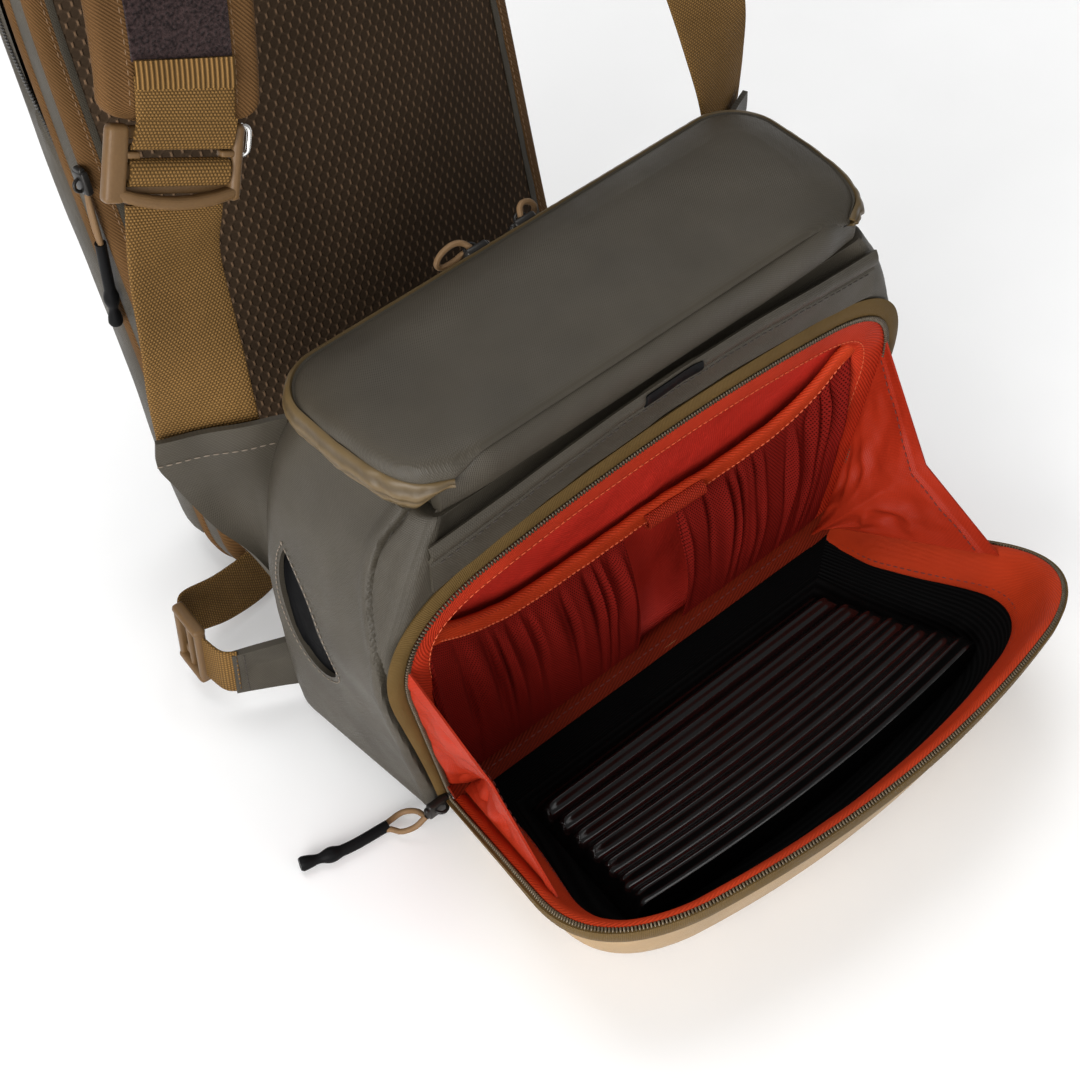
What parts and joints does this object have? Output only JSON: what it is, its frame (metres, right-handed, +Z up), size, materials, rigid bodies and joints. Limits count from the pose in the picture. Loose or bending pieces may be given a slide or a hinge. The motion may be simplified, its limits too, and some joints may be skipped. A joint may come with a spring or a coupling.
{
  "type": "chest pack",
  "caption": "Chest pack with a fold-down work tray, red lined front compartment, padded lid and a full shoulder harness with a leaning back panel and rear bag.",
  "frame": {"origin": "middle of the pack's flat base, on the floor", "axes": "+Z up, -Y towards the open tray at the front, +Y towards the wearer and the back panel, +X to the right seen from the front"},
  "size_m": [0.3205, 0.4176, 0.3588],
  "materials": {
    "olive_cloth": "coated fine weave",
    "tan_webbing": "ribbed weave",
    "zip_tape": "coated tape with a coil",
    "red_lining": "smooth cloth with a soft shine",
    "red_mesh": "gathered fine mesh",
    "orange_binding": "stitched tape",
    "tan_shell": "moulded cloth over foam",
    "black_lining": "brushed knit",
    "black_foam": "ribbed closed foam",
    "black_rubber": "smooth",
    "brown_mesh": "spacer mesh",
    "tan_plastic": "moulded satin",
    "steel_wire": "bright",
    "dark_metal": "satin"
  },
  "bodies": {
    "root": {"body_shell": "olive_cloth", "slot_patch": "black_rubber", "lid_panel": "olive_cloth", "lid_zip_tape": "zip_tape", "front_roll": "olive_cloth", "front_pocket": "olive_cloth", "body_zip_tape": "zip_tape", "lining_wall": "red_lining", "hinge_strip": "red_lining", "pocket_elastic": "orange_binding", "mesh_pocket_left": "red_mesh", "mesh_pocket_right": "red_mesh", "key_loop": "red_lining", "tray_shell": "tan_shell", "tray_liner": "black_lining", "tray_rim": "orange_binding", "tray_zip_tape": "zip_tape", "tray_foam": "black_foam", "tray_slider": "dark_metal", "tray_pull_cord": "tan_webbing", "tray_pull_tube": "black_rubber", "lid_slider_left": "dark_metal", "lid_pull_left": "tan_webbing", "lid_slider_right": "dark_metal", "lid_pull_right": "tan_webbing", "gusset_left": "red_lining", "gusset_right": "red_lining", "wing_left": "olive_cloth", "wing_right": "olive_cloth", "shoulder_webbing_left": "tan_webbing", "shoulder_webbing_right": "tan_webbing", "shoulder_buckle_left": "tan_plastic", "shoulder_buckle_right": "tan_plastic", "buckle_wire_left": "steel_wire", "buckle_wire_right": "steel_wire", "shoulder_pad_left": "tan_webbing", "shoulder_pad_right": "tan_webbing", "lower_tab_left": "olive_cloth", "lower_tab_right": "olive_cloth", "lower_webbing_front_left": "tan_webbing", "lower_webbing_front_right": "tan_webbing", "lower_buckle_left": "tan_plastic", "lower_buckle_right": "tan_plastic", "lower_webbing_back_left": "tan_webbing", "lower_webbing_back_right": "tan_webbing", "back_pad": "brown_mesh", "back_binding": "tan_webbing", "back_bag": "olive_cloth", "bag_slider": "dark_metal", "bag_pull_cord": "tan_webbing", "bag_pull_tube": "black_rubber"}
  },
  "joints": []
}
